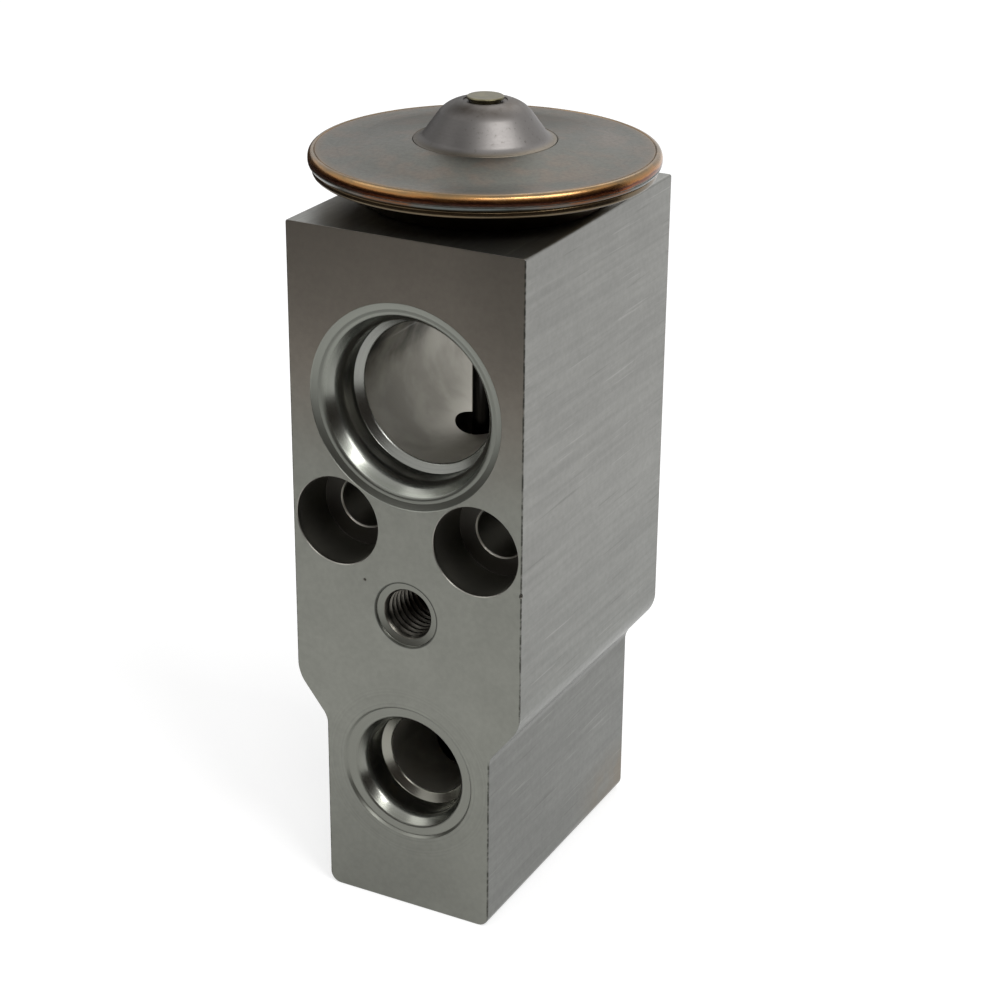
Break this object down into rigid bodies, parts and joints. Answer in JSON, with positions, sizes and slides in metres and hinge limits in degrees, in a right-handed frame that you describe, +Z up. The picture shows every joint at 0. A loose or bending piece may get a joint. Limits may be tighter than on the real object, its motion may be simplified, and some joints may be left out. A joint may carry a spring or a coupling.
{
  "type": "thermostatic expansion valve",
  "caption": "Aluminium block expansion valve with a round welded diaphragm head, face-sealed pipe ports, bolt holes, and a ball, pin, spring and adjusting screw inside.",
  "frame": {"origin": "centre of the bottom face, on the push pin's axis", "axes": "+Z up through the diaphragm head; -Y out of the face that takes the pipe flange; +Y out of the face that bolts to the evaporator"},
  "size_m": [0.035, 0.035, 0.0835],
  "materials": {
    "block_aluminium": "satin machined",
    "head_steel": "heat tinted at the weld",
    "cover_steel": "satin, heat tinted at the rim",
    "plug_steel": "satin",
    "spring_steel": "bright",
    "pin_steel": "ground",
    "ball_steel": "polished",
    "stopper_aluminium": "turned",
    "screw_brass": "turned",
    "black_rubber": "matte"
  },
  "bodies": {
    "valve_body": {"valve_block": "block_aluminium", "head_base": "head_steel", "head_cover": "cover_steel", "seal_plug": "plug_steel", "diaphragm": "spring_steel", "head_seal": "black_rubber", "pin_seal": "black_rubber", "seal_retainer": "spring_steel", "valve_spring": "spring_steel"},
    "stem": {"stopper_disc": "stopper_aluminium", "push_pin": "pin_steel", "valve_ball": "ball_steel", "ball_holder": "screw_brass", "damper_ring": "spring_steel"},
    "screw_slide": {"screw_seal": "black_rubber"},
    "screw": {"adjusting_screw": "screw_brass"}
  },
  "joints": [
    {"name": "valve_stroke", "type": "slide", "parent": "valve_body", "child": "stem", "axis": [0, 0, -1], "range_m": [0, 0.0006], "stiffness_N_per_m": 6500, "deforming": ["valve_spring", "diaphragm"]},
    {"name": "screw_advance", "type": "slide", "parent": "valve_body", "child": "screw_slide", "axis": [0, 0, 1], "range_m": [-0.001, 0.001], "deforming": ["valve_spring"]},
    {"name": "screw_turn", "type": "hinge", "parent": "screw_slide", "child": "screw", "pos_m": [0, 0, 0.004], "axis": [0, 0, 1], "range_deg": [-360, 360]}
  ],
  "couplings": [
    {"joint": "screw_advance", "follows": "screw_turn", "m_per_rad": 0.00015915}
  ]
}
